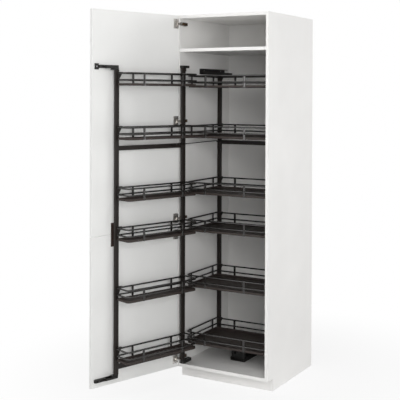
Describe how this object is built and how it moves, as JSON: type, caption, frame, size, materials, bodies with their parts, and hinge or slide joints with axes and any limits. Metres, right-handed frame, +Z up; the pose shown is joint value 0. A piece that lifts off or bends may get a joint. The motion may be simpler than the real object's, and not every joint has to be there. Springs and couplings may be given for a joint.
{
  "type": "kitchen larder cabinet",
  "caption": "Tall white larder cabinet whose open door carries a swinging frame of wire baskets, linked by a rod to a second frame of baskets inside that slides forward.",
  "frame": {"origin": "on the floor under the middle of the carcass", "axes": "+X to the right and +Y into the depth as one faces the cabinet, +Z up"},
  "size_m": [0.7949, 1.1733, 2.13],
  "materials": {
    "white_faced_board": "smooth melamine facing",
    "white_back_board": "smooth facing",
    "white_plinth_board": "smooth melamine facing",
    "white_door_board": "smooth satin lacquer",
    "zinc_fitting": "cast zinc",
    "black_plastic": "fine grain moulded",
    "nickel_plated_steel": "nickel plated",
    "screw_steel": "plated",
    "black_coated_steel": "powder coat",
    "anthracite_coated_steel": "powder coat"
  },
  "bodies": {
    "cabinet": {"side_panel_left": "white_faced_board", "side_panel_right": "white_faced_board", "top_panel": "white_faced_board", "bottom_panel": "white_faced_board", "fixed_shelf": "white_faced_board", "back_panel": "white_back_board", "plinth_board": "white_plinth_board", "rear_plinth_rail": "white_plinth_board", "cam_locks": "zinc_fitting", "cam_bolts": "zinc_fitting", "levelling_foot_blocks": "black_plastic", "levelling_feet": "black_plastic", "hinge_mounting_plates": "nickel_plated_steel", "hinge_plate_screws": "screw_steel", "hinge_arms": "nickel_plated_steel", "pivot_bracket_upper": "black_coated_steel", "pivot_bracket_lower": "black_coated_steel", "floor_runner_track": "black_coated_steel", "top_guide_rail": "black_coated_steel", "bracket_screws": "screw_steel"},
    "door": {"door_front_lower": "white_door_board", "door_front_upper": "white_door_board", "front_joining_plate": "nickel_plated_steel", "joining_plate_screws": "screw_steel", "hinge_cups": "nickel_plated_steel", "hinge_cup_screws": "screw_steel", "door_guide_rail_lower": "black_coated_steel", "door_guide_rail_upper": "black_coated_steel", "guide_rail_screws": "screw_steel"},
    "hinge_links": {"hinge_links": "nickel_plated_steel"},
    "swinging_frame": {"swing_frame_pivot_post": "anthracite_coated_steel", "swing_frame_free_post": "anthracite_coated_steel", "swing_frame_crossbars": "anthracite_coated_steel", "swing_frame_pivot_lugs": "anthracite_coated_steel", "free_post_guide_blocks": "black_plastic", "guide_rollers": "black_plastic", "rod_bracket_front": "anthracite_coated_steel", "door_basket_hooks": "anthracite_coated_steel", "door_basket_1": "anthracite_coated_steel", "door_basket_2": "anthracite_coated_steel", "door_basket_3": "anthracite_coated_steel", "door_basket_4": "anthracite_coated_steel", "door_basket_5": "anthracite_coated_steel", "door_basket_6": "anthracite_coated_steel"},
    "inner_frame": {"inner_frame_post_left": "anthracite_coated_steel", "inner_frame_post_right": "anthracite_coated_steel", "inner_frame_crossbar": "anthracite_coated_steel", "inner_frame_base_bar": "anthracite_coated_steel", "inner_post_cap": "black_plastic", "floor_runner_carriage": "black_plastic", "top_guide_carriage": "black_plastic", "inner_basket_hooks": "anthracite_coated_steel", "rod_bracket_rear": "anthracite_coated_steel", "inner_basket_1": "anthracite_coated_steel", "inner_basket_2": "anthracite_coated_steel", "inner_basket_3": "anthracite_coated_steel", "inner_basket_4": "anthracite_coated_steel", "inner_basket_5": "anthracite_coated_steel", "inner_basket_6": "anthracite_coated_steel"},
    "coupling_rod": {"coupling_rod": "anthracite_coated_steel"}
  },
  "joints": [
    {"name": "door_hinge", "type": "hinge", "parent": "cabinet", "child": "door", "pos_m": [-0.294, -0.31, 1.1], "axis": [0, 0, 1], "range_deg": [0, 108.8]},
    {"name": "swing_pivot", "type": "hinge", "parent": "cabinet", "child": "swinging_frame", "pos_m": [-0.26, -0.295, 1.1], "axis": [0, 0, 1], "range_deg": [0, 108.8]},
    {"name": "inner_slide", "type": "slide", "parent": "cabinet", "child": "inner_frame", "axis": [0, 1, 0], "range_m": [0, 0.15303]},
    {"name": "rod_pivot", "type": "hinge", "parent": "swinging_frame", "child": "coupling_rod", "pos_m": [-0.23917, -0.40139, 1.3795], "axis": [0, 0, 1], "range_deg": [-100.49, 0]},
    {"name": "link_pivot", "type": "hinge", "parent": "door", "child": "hinge_links", "pos_m": [-0.28853, -0.3144, 1.1], "axis": [0, 0, 1], "range_deg": [-142.8, 0]}
  ],
  "couplings": [
    {"joint": "swing_pivot", "follows": "door_hinge", "ratio": 1},
    {"joint": "inner_slide", "follows": "door_hinge", "m_per_rad": 0.080481},
    {"joint": "rod_pivot", "follows": "door_hinge", "ratio": -0.9227},
    {"joint": "link_pivot", "follows": "door_hinge", "ratio": -1.3116}
  ]
}
